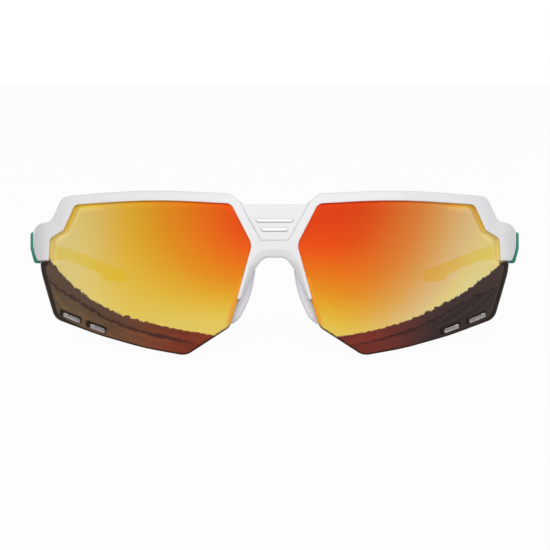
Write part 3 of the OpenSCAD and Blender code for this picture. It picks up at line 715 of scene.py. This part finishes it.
# distance to the nearer lens opening
def openingGap(p):
    return gapTo(np.column_stack([np.abs(p[:, 0]), p[:, 1]]), openingLoop)


def frameEdge(p):
    leg = (np.abs(p[:, 0]) < front["legZone"][0]) & (p[:, 1] < front["legZone"][1])
    atLens = openingGap(p) < front["lensZone"]
    atSlot = nearestGap(p, slotLoops) < front["slotZone"]
    return np.where(leg | atLens | atSlot, front["sharpEdge"], front["edge"])


# how far inside the bridge's recess a place lies
def intoRecess(x, z):
    return np.minimum((recessHalf(z) - np.abs(x)) * front["slantShare"], z - front["recessFoot"])


def frameNear(p, gap, fall):
    x, z = p.T
    side = np.abs(x)
    depth = np.maximum(fall, front["endDeep"] * roundOff(np.maximum(outerX - side, 0), front["endRound"]))
    step = intoRecess(x, z)
    depth = depth + front["recessDepth"] * smooth(*front["recessEdge"], step)
    depth = depth + front["groove"] * (1 - smooth(front["grooveFlat"], front["grooveHalf"], np.abs(step)))
    slope = front["legSlope"] + (front["archSlope"] - front["legSlope"]) * smooth(*front["archFrom"], z)
    depth = depth + np.maximum(facetWidth(p) - gapTo(p, noseLine, closed=False), 0) * slope
    sloped = np.maximum(openingGap(p) - front["crease"], 0) * smooth(*front["creaseFrom"], side)
    depth = depth + np.minimum(sloped, front["creaseWide"]) * front["creaseSlope"]
    y = shellY(x, z, worn["baseRadius"] - depth)
    return np.column_stack([x, np.minimum(y, front["buttY"] - front["sharpEdge"] - 0.1), z])


def frameFar(p, gap, fall):
    x, z = p.T
    side = np.abs(x)
    soften = np.minimum(fall, roundOff(gap, np.full(len(p), front["backEdge"])))
    butt = side > outerX - front["endWall"]
    seat = (side > endInner - front["seatMargin"]) & ~butt
    y = shellY(x, z, worn["baseRadius"] - worn["rimDepth"])
    y = np.where(seat, front["seatY"], np.where(butt, front["buttY"], y)) - soften
    return np.column_stack([x, y, z + front["slotLift"] * (1 - smooth(0, 1, nearestGap(p, slotLoops)))])


# rows of points along the places where the frame's faces step or bend
def stepRows():
    rows = []
    up = np.arange(front["endFoot"], front["endTop"], 0.35)
    for x in (endInner - front["seatMargin"], outerX - front["endWall"]):
        for side in (1, -1):
            rows += [np.column_stack([np.full(len(up), side * (x + d)), up]) for d in meshing["stepSides"]]
    top = front["bridgeTop"]
    foot = front["recessFoot"]
    recess = np.array([(-recessHalf(top), top), (-recessHalf(foot), foot), (recessHalf(foot), foot),
                       (recessHalf(top), top)])
    line = divided(recess, 0.25, closed=False)
    for spread in meshing["grooveRows"]:
        rows.append(np.column_stack([line[:, 0] + np.sign(line[:, 0]) * spread, line[:, 1] - spread]))
    normal = normalsTo(np.gradient(noseLine, axis=0))
    width = facetWidth(noseLine)[:, None]
    rows += [noseLine + normal * width * side for side in (1, -1)]
    crease = offsetRows(divided(openingLoop, 0.45), [front["crease"]])
    return rows + [row * [side, 1] for row in crease for side in (1, -1)]


def dress(piece, body, materials, replaced=()):
    for material in materials:
        piece.data.materials.append(material)
    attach(piece, body)
    if replaced:
        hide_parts(*replaced)


# bevels a piece's edges by some millimetres, and replaces its mesh by what its modifiers make of it
def softened(piece, width):
    soften = piece.modifiers.new("soften", "BEVEL")
    soften.width = width / 1000
    soften.segments = 2
    bpy.context.view_layer.update()
    graph = bpy.context.evaluated_depsgraph_get()
    result = bpy.data.meshes.new_from_object(piece.evaluated_get(graph))
    piece.modifiers.clear()
    piece.data = result
    return piece


# thin fins behind the legs, which carry the nose pads
def padFins():
    work = bmesh.new()
    for side in (1, -1):
        near, far = [[work.verts.new(stand([(side * x, y, z)])[0]) for x, z in front["finCorners"]]
                     for y in front["finDepths"]]
        for i in range(4):
            k = (i + 1) % 4
            work.faces.new([near[i], near[k], far[k], far[i]])
        work.faces.new(near)
        work.faces.new(far)
    mesh = bpy.data.meshes.new("padFins")
    work.to_mesh(mesh)
    work.free()
    return tidyMesh(softened(placed("padFins", mesh), front["finEdge"]))


frameShell = facedPiece("frontShell", [rimOutline()] + slotLoops, frameNear, frameFar, frameEdge, 0.45,
                        stepRows())
dress(frameShell, "front", [whiteMoulding], ["front_frame"])
dress(padFins(), "front", [whiteMoulding])
print("stage 4: front frame made")


lens = {
    "grooveDepth": 1.2, "legGroove": 0.45,
    # rounding of the edges: the free edge at the temple, round the vents, and at the back
    "edge": 0.22, "freeEdge": 0.5, "freeAside": (52, 64), "freeBelow": (4, 1),
    "ventEdge": 0.12, "ventZone": 1.2, "backEdge": 0.2,
    # dark band along the free edge, from the end pieces' feet down, and wider at the temple
    "edgeBand": 0.65, "templeBand": 2.1, "templeFrom": (54, 65), "bandFade": (0.65, 1.0),
    "bandFrom": (0.2, -0.8),
    # lit band along the nose edge, and the band beside the frame that takes painted light
    "noseBand": 1.3, "noseFade": (0.8, 1.0), "noseAside": (22, 17), "noseAbove": (-14.5, -12.5),
    "noseBelow": (0, -2), "frameBand": 2.8, "frameAbove": (2.5, 4.5),
    # painted shade round a vent, standing in for the shadow inside it
    "ventShade": (0.95, 0.75, 0.35, 0.5),    # dark round a vent: longer, taller, higher, and to one side
    "shadeFade": 0.15,
    # the vents rise towards the back, and the lens's back is drawn up with them
    "ventHeight": 1.3, "ventSlope": 16.8, "ventRise": 26.0, "riseShare": 0.93, "riseReach": 3.2,
    "vents": [(0.841, 0.546, 6.6), (0.714, 0.676, 5.4)],   # across, below, length
    "wallReach": 4.5,       # from a vent's middle to the furthest of its walls
    # ribs in the first vent, their height, width and depth, and their seat behind the front, above the
    # vent's lower wall and away from its ends
    "ribs": 8, "ribSize": (0.24, 0.22, 1.5), "ribSink": 0.95, "ribSeat": 0.5, "ribEnd": 0.75,
}
lensRadius = worn["baseRadius"] - worn["lensSet"]
grooveDepth = lens["grooveDepth"]
grooves = [(-lens["legGroove"], 0), (-grooveDepth, grooveDepth), (0, grooveDepth), (grooveDepth, grooveDepth),
           (grooveDepth, grooveDepth / 2), (grooveDepth, grooveDepth / 2)]
lensLoop = roundedLoop([
    *(lensCorner(*place, *move) for place, move in zip(openingCorners, grooves)),
    (endInner + grooveDepth, front["endFoot"] - 0.1, 0.5), (acrossLens(1), front["endFoot"] - 0.15, 1.3),
    (acrossLens(0.998), 0.05 * front["lensDrop"], 12), lensCorner(0.928, -0.56, 4),
    lensCorner(0.70, -0.765, 80), lensCorner(0.49, -0.915, 80), lensCorner(0.30, -1.002, 4.5),
    lensCorner(0.10, -0.644, 3)])


# the middle of a vent, and its three directions: down the lens, along the vent, and out of the lens
def ventAxes(across, below):
    x, z, _ = lensCorner(across, -below, 0)
    y = -math.sqrt(lensRadius ** 2 - x * x - z * z)
    out = np.array([x, y, z]) / lensRadius
    level = unit(np.array([-y, x, 0.0]))
    down = np.cross(level, out)
    slope = math.radians(lens["ventSlope"])
    across = down * math.cos(slope) + level * math.sin(slope)
    along = -down * math.sin(slope) + level * math.cos(slope)
    centre = np.array([0, worn["baseRadius"], 0]) + out * lensRadius
    return centre, across, along, out


def ventLoop(vent, side, longer=0.0, taller=0.0, higher=0.0, aside=0.0):
    centre, across, along, _ = ventAxes(*vent[:2])
    centre = centre - across * higher - along * aside * side
    w = lens["ventHeight"] / 2 * math.cos(math.radians(lens["ventRise"])) + taller / 2
    half = vent[2] / 2 + longer
    loop = roundedLoop([(-w, -half, 0.5), (-w, half, 0.5), (w, half, 0.5), (w, -half, 0.5)], 15)
    spots = np.array([centre + across * u + along * v for u, v in loop])
    return np.column_stack([spots[:, 0] * side, spots[:, 2]])


def makeLens(label, side):
    outline = lensLoop * [side, 1]
    holes = [ventLoop(vent, side) for vent in lens["vents"]]
    # painted shade round each vent
    shades = [ventLoop(vent, side, *lens["ventShade"]) for vent in lens["vents"]]
    lift = worn["lensDepth"] * math.tan(math.radians(lens["ventRise"])) * lens["riseShare"]

    def edge(p):
        away = np.abs(p[:, 0])
        free = lens["freeEdge"] * smooth(*lens["freeAside"], away) * smooth(*lens["freeBelow"], p[:, 1])
        return np.where(nearestGap(p, holes) < lens["ventZone"], lens["ventEdge"], lens["edge"] + free)

    def near(p, gap, fall):
        return onShell(p, lensRadius - fall)

    def far(p, gap, fall):
        z = p[:, 1] + lift * (1 - smooth(0, lens["riseReach"], nearestGap(p, holes)))
        radius = lensRadius - worn["lensDepth"] + np.minimum(fall, lens["backEdge"])
        return onShell(np.column_stack([p[:, 0], z]), radius)

    def marks(p, gap):
        away = np.abs(p[:, 0])
        height = p[:, 1]
        outer = gapTo(p, outline)
        free = smooth(*(front["endFoot"] + step for step in lens["bandFrom"]), height)
        band = lens["edgeBand"] + (lens["templeBand"] - lens["edgeBand"]) * smooth(*lens["templeFrom"], away)
        noseSide = smooth(*lens["noseAside"], away) * smooth(*lens["noseAbove"], height)
        rim = (1 - smooth(*lens["bandFade"], outer / band)) * free * (1 - noseSide)
        # painted shade round the vents joins the dark edge band
        for shade in shades:
            faded = 1 - smooth(0, lens["shadeFade"], gapTo(p, shade))
            rim = np.maximum(rim, np.where(insideLoop(p, shade), 1.0, faded))
        noseFade = 1 - smooth(*lens["noseFade"], outer / lens["noseBand"])
        beside = np.clip(1 - openingGap(p) / lens["frameBand"], 0, 1) * smooth(*lens["frameAbove"], height)
        return {"rim": rim, "noseEdge": noseFade * noseSide * smooth(*lens["noseBelow"], height),
                "nearFrame": beside}

    rows = [row for shade in shades for row in offsetRows(divided(shade, 0.3), [0.0, 0.12])]
    rows += offsetRows(divided(outline, 0.6), [
        lens["edgeBand"], lens["templeBand"] * 0.65, lens["templeBand"], lens["noseBand"] * 0.8,
        lens["noseBand"]])
    besideRows = offsetRows(divided(openingLoop, 0.5), [lens["frameBand"] * s for s in (0.35, 0.5, 0.8, 1.0)])
    rows += [row * [side, 1] for row in besideRows]
    piece = facedPiece("lensShell_" + label, [outline] + holes, near, far, edge, 0.7, rows, marks)
    dress(piece, "front", [lensCoats[label], ventWall, lensInside], ["lens_" + label])
    middles = stand(onShell(np.array([hole.mean(axis=0) for hole in holes]), lensRadius)) * 1000
    facePart = piece.data.attributes["facePart"].data
    for i, face in enumerate(piece.data.polygons):
        if facePart[i].value == 1:
            face.material_index = 2
        elif facePart[i].value == 2:
            spot = np.array(face.center) * 1000
            if min(np.linalg.norm(spot - middle) for middle in middles) < lens["wallReach"]:
                face.material_index = 1


for label, side in sides:
    makeLens(label, side)
print("stage 5: lenses made")


# a row of small ribs between two places, by geometry nodes
def ribTree():
    tree = bpy.data.node_groups.new("ribRow", "GeometryNodeTree")
    tree.interface.new_socket("Geometry", in_out="OUTPUT", socket_type="NodeSocketGeometry")
    for label, kind in (("Start", "Vector"), ("End", "Vector"), ("Count", "Int"), ("Rib Size", "Vector"),
                        ("Turn", "Vector"), ("Finish", "Material")):
        tree.interface.new_socket(label, in_out="INPUT", socket_type="NodeSocket" + kind)
    group, row, rib, place, real, paint, out = (tree.nodes.new(kind) for kind in (
        "NodeGroupInput", "GeometryNodeMeshLine", "GeometryNodeMeshCube", "GeometryNodeInstanceOnPoints",
        "GeometryNodeRealizeInstances", "GeometryNodeSetMaterial", "NodeGroupOutput"))
    row.mode = "END_POINTS"
    row.count_mode = "TOTAL"
    for source, given, target, taken in (
            (group, "Start", row, "Start Location"), (group, "End", row, "Offset"),
            (group, "Count", row, "Count"), (group, "Rib Size", rib, "Size"), (row, "Mesh", place, "Points"),
            (rib, "Mesh", place, "Instance"), (group, "Turn", place, "Rotation"),
            (place, "Instances", real, "Geometry"), (real, "Geometry", paint, "Geometry"),
            (group, "Finish", paint, "Material"), (paint, "Geometry", out, "Geometry")):
        tree.links.new(source.outputs[given], target.inputs[taken])
    return tree


ribRow = ribTree()


# one row of ribs between two worn places, as a plain mesh; axes are the rib's own three directions
def makeRibs(name, start, end, count, size, axes, material):
    a, b = stand([start, end])
    turned = stand(np.vstack([axes, [(0, 0, 0)]]))
    axes = [unit(row) for row in turned[:3] - turned[3]]
    turn = Matrix(np.array(axes).T.tolist()).to_euler()
    piece = placed(name, bpy.data.meshes.new(name))
    modifier = piece.modifiers.new("ribs", "NODES")
    modifier.node_group = ribRow
    keys = {item.name: item.identifier for item in ribRow.interface.items_tree if item.in_out == "INPUT"}
    for label, value in (("Start", a), ("End", b), ("Count", count), ("Rib Size", np.array(size) / 1000),
                         ("Turn", turn), ("Finish", material)):
        modifier[keys[label]] = [float(v) for v in value] if hasattr(value, "__len__") else value
    return softened(piece, min(size) / 4)


def joined(pieces, name):
    work = bmesh.new()
    for piece in pieces:
        work.from_mesh(piece.data)
    mesh = bpy.data.meshes.new(name)
    work.to_mesh(mesh)
    work.free()
    for piece in pieces:
        bpy.data.objects.remove(piece)
    return placed(name, mesh)


ribRows = []
for side in (1, -1):
    flip = np.array([side, 1, 1])
    for number, vent in enumerate(lens["vents"]):
        centre, across, along, out = ventAxes(*vent[:2])
        seat = centre - out * lens["ribSink"] + across * (lens["ventHeight"] / 2 - lens["ribSeat"])
        reach = along * (vent[2] / 2 - lens["ribEnd"])
        axes = np.array([across, along, out]) * flip
        axes[2] *= side     # a mirrored rib's axes stay right-handed
        ribRows.append(makeRibs(f"ribs{side}{number}", (seat - reach) * flip, (seat + reach) * flip,
                                lens["ribs"] - number, lens["ribSize"], axes, ventWall))
dress(joined(ribRows, "ventRibs"), "front", [ventWall])
print("stage 6: vent ribs made")


# corners are places outwards of x and above or below top, with their radius; the rest are heights with
# the depths of the two faces behind the foremost place, and with places outwards where the rounding changes
pad = {
    "x": 5.25, "top": 1.85, "front": 5.32, "edge": 1.05, "lensEdge": 0.4,
    "corners": [(2.6, 0, 1), (4.2, -7.2, 30), (6.98, -13.4, 12), (7.3, -16, 0.8), (4.4, -14.1, 10),
                (1.2, -7.2, 25), (0, 0, 0.8)],
    "near": [(-16, 0.9), (-13, 0.4), (-2, 0), (0, 0.7)],
    "far": [(-16, 5.2), (-14, 6.6), (-9.6, 7.9), (-4, 7.9), (-1, 7.2), (0, 5.6)],
    "turn": [(-16, 7.1), (-13.7, 5.6), (-7.2, 2.7), (0, 1.3)],
}
padLoop = roundedLoop([(pad["x"] + x, pad["top"] + z, radius) for x, z, radius in pad["corners"]])


def padProfile(p, key):
    return np.interp(p[:, 1] - pad["top"], *zip(*pad[key]))


def padNear(p, gap, fall):
    return np.column_stack([p[:, 0], padProfile(p, "near") + pad["front"] + fall, p[:, 1]])


def padFar(p, gap, fall):
    return np.column_stack([p[:, 0], pad["front"] + padProfile(p, "far") - fall, p[:, 1]])


# rounded towards the nose, nearly square towards the lens
def padEdge(p):
    return np.where(np.abs(p[:, 0]) > pad["x"] + padProfile(p, "turn"), pad["lensEdge"], pad["edge"])


for label, side in sides:
    piece = facedPiece("nosePad_" + label, [padLoop * [side, 1]], padNear, padFar, padEdge, 0.35)
    dress(piece, "front", [greyRubber], ["nose_pad_" + label])
print("stage 7: nose pads made")


temple = {
    "proud": 1.0,           # beyond the end piece
    "long": 121.0, "tipsGap": 102.0, "bow": 1.0,
    "thick": 4.2, "tipThick": 3.8, "slim": 0.5,
    "top": 12.8, "foot": 3.3, "bevel": 1.2,
    "pocketX": 68.05, "pocketLong": 12.8, "pocketTall": (3.5, 11.5),     # for the hinge leaf, inside
    "neck": (13.0, 0.9, 5.2), "waist": (43.0, 1.4, 3.3),   # behind the pin, fall, height
    "tipLong": 54.0, "tipFall": 3.0,
    "paddleTall": 4.0, "paddleFoot": 2.5, "paddleRise": 0.6, "paddleLong": 19.0, "paddleRun": 5.5,
    # rounding of the edges, which starts smaller at the front end and at the soft tip's seam
    "edge": 1.15, "frontEdge": (0.3, 0.28), "seamEdge": (0.25, 0.9), "pocketEdge": 0.3, "seam": 0.03,
}
armX = outerX + temple["proud"]
tipX = temple["tipsGap"] / 2 + temple["tipThick"]
armY = pinY + 0.15
tipY = pinY + temple["long"]
splitY = tipY - temple["tipLong"]
splitZ = pinZ - temple["tipFall"]
stepY = tipY - temple["paddleLong"]
pocketEnd = pinY + temple["pocketLong"]


# from one measure at the pin to another at the tip, with a bulge between
def alongTemple(y, first, last, bulge):
    s = (y - pinY) / temple["long"]
    return first + (last - first) * s + 4 * bulge * s * (1 - s)


def outsideX(y):
    return alongTemple(y, armX, tipX, temple["bow"])


def middleZ(y):
    endZ = temple["paddleTall"] / 2 - temple["paddleFoot"]
    return splitZ + (endZ - splitZ) * (y - splitY) / (tipY - splitY)


# place, and heights above and below, of a narrow section behind the pin
def section(behind, fall, tall):
    middle = pinZ - fall
    return pinY + behind, middle + tall / 2, middle - tall / 2


def sideLoop():
    neckY, neckTop, neckFoot = section(*temple["neck"])
    waistY, waistTop, waistFoot = section(*temple["waist"])
    half = temple["waist"][2] / 2
    runY = stepY - temple["paddleRun"]
    foot = -temple["paddleFoot"]
    return roundedLoop([
        (armY, temple["top"], 1), (neckY, neckTop, 20), (waistY, waistTop, 150),
        (splitY, splitZ + half, 150), (tipY, temple["paddleTall"] + foot, 2.4), (tipY - 0.4, foot, 1.8),
        (stepY, temple["paddleRise"] + foot, 5), (runY, middleZ(runY) - half, 5),
        (splitY, splitZ - half, 150), (waistY, waistFoot, 100), (neckY, neckFoot, 20),
        (armY, temple["foot"], 1)])


def templeEdge(p):
    least, growth = temple["frontEdge"]
    seamLeast, seamGrowth = temple["seamEdge"]
    ahead = least + growth * np.maximum(p[:, 0] - armY, 0)
    around = seamLeast + seamGrowth * np.abs(p[:, 0] - splitY)
    return np.minimum(np.minimum(ahead, around), temple["edge"])


def templeFaces(side):
    fallRate = temple["bevel"] / (pinZ - temple["foot"])

    def near(p, gap, fall):
        y, z = p.T
        limit = armX - np.maximum(pinZ - z, 0) * fallRate
        x = np.where(y < splitY, np.minimum(outsideX(y), limit), outsideX(y)) - fall
        return np.column_stack([x * side, y, z])

    def far(p, gap, fall):
        y, z = p.T
        thick = alongTemple(y, temple["thick"], temple["tipThick"], -temple["slim"])
        inside = outsideX(y) - thick + fall
        floor = temple["pocketX"] + np.minimum(fall, temple["pocketEdge"])
        x = np.where(y < pocketEnd, np.maximum(inside, floor), inside)
        return np.column_stack([x * side, y, z])

    return near, far


wholeSide = divided(sideLoop(), 0.6)
armSide = clipped(wholeSide, 0, splitY, False)
tipSide = clipped(wholeSide, 0, splitY + temple["seam"], True)
pocketRows = [np.column_stack([np.full(24, pocketEnd + d), np.linspace(*temple["pocketTall"], 24)])
              for d in meshing["stepSides"]]
for label, side in sides:
    near, far = templeFaces(side)
    arm = facedPiece("armShell_" + label, [armSide], near, far, templeEdge, 0.55, pocketRows)
    dress(arm, "temple_" + label, [tealMoulding], ["temple_arm_" + label])
    tip = facedPiece("tipShell_" + label, [tipSide], near, far, templeEdge, 0.55)
    dress(tip, "temple_" + label, [tealRubber], ["temple_tip_" + label])
print("stage 8: temples made")

hardware = {
    "hinge_bracket_": hingeSteel, "hinge_leaf_": hingeSteel, "tip_wire_": hingeSteel,
    "bracket_screw_": screwSteel, "hinge_screw_": screwSteel, "leaf_screws_": screwSteel,
}
for label, _ in sides:
    for node, material in hardware.items():
        target = frame["nodes"][node + label]
        for place in target.material_slots:
            place.material = material
        if not target.material_slots:
            target.data.materials.append(material)
print("stage 9: hinge hardware finished")


studio = {
    "white": (1, 1, 1, 1), "floor": "D4D4D4", "floorSize": 3.0, "floorGlow": 0.96, "room": 0.36,
    "distance": 600.0, "imageWide": 550 / 3.65, "offset": 0.11,
    # place, target, width, height and power
    "lamps": {
        "keyLamp": ((-0.06, -1.0, 0.5), (0, -0.05, 0.02), 1.3, 0.6, 7.9),
        "topLamp": ((0.0, -0.1, 1.0), (0, -0.03, 0.02), 0.8, 0.8, 1.0),
        "fillLamp": ((1.1, 0.15, 0.3), (0, -0.05, 0.02), 0.5, 0.5, 1.6),
    },
}


# grey where light falls on it, and nearly plain white to the eye
def studioFloor():
    mesh = bpy.data.meshes.new("studioFloor")
    half = studio["floorSize"] / 2
    corners = [(-half, -half, 0), (half, -half, 0), (half, half, 0), (-half, half, 0)]
    mesh.from_pydata(corners, [], [(0, 1, 2, 3)])
    floor = placed("studioFloor", mesh)
    finish = Finish("studioFloor")
    seen = finish.inSight()
    matte = finish.add("BsdfDiffuse", {"Color": tone(studio["floor"])})
    lit = finish.add("Emission", {"Color": studio["white"], "Strength": 1.0})
    both = finish.add("MixShader", {0: seen * studio["floorGlow"], 1: matte, 2: lit})
    mesh.materials.append(finish.finishWith(both))


def softLamp(name, place, target, wide, tall, power):
    lamp = bpy.data.lights.new(name, "AREA")
    lamp.shape = "RECTANGLE"
    lamp.size = wide
    lamp.size_y = tall
    lamp.energy = power
    holder = placed(name, lamp)
    holder.visible_glossy = False
    holder.location = place
    holder.rotation_euler = (Vector(target) - Vector(place)).to_track_quat("-Z", "Y").to_euler()


# lights the object dimly, and is plain white to the eye
def whiteRoom():
    finish = Finish("whiteRoom", isWorld=True)
    seen = finish.inSight()
    dim = finish.add("Background", {"Color": studio["white"], "Strength": studio["room"]})
    plain = finish.add("Background", {"Color": studio["white"]})
    room = finish.add("MixShader", {0: seen, 1: dim, 2: plain})
    bpy.context.scene.world = finish.finishWith(room)


def photoCamera():
    camera = bpy.data.cameras.new("photoCamera")
    camera.sensor_width = 36
    camera.lens = 36 * studio["distance"] / studio["imageWide"]
    camera.clip_start = 0.01
    holder = placed("photoCamera", camera)
    holder.location = stand([(studio["offset"], -studio["distance"], 0)])[0]
    holder.rotation_euler = (math.pi / 2 - tipBack, 0, 0)
    bpy.context.scene.camera = holder


studioFloor()
whiteRoom()
for name, values in studio["lamps"].items():
    softLamp(name, *values)
photoCamera()
bpy.context.scene.view_settings.view_transform = "Standard"
print("stage 10: studio set")
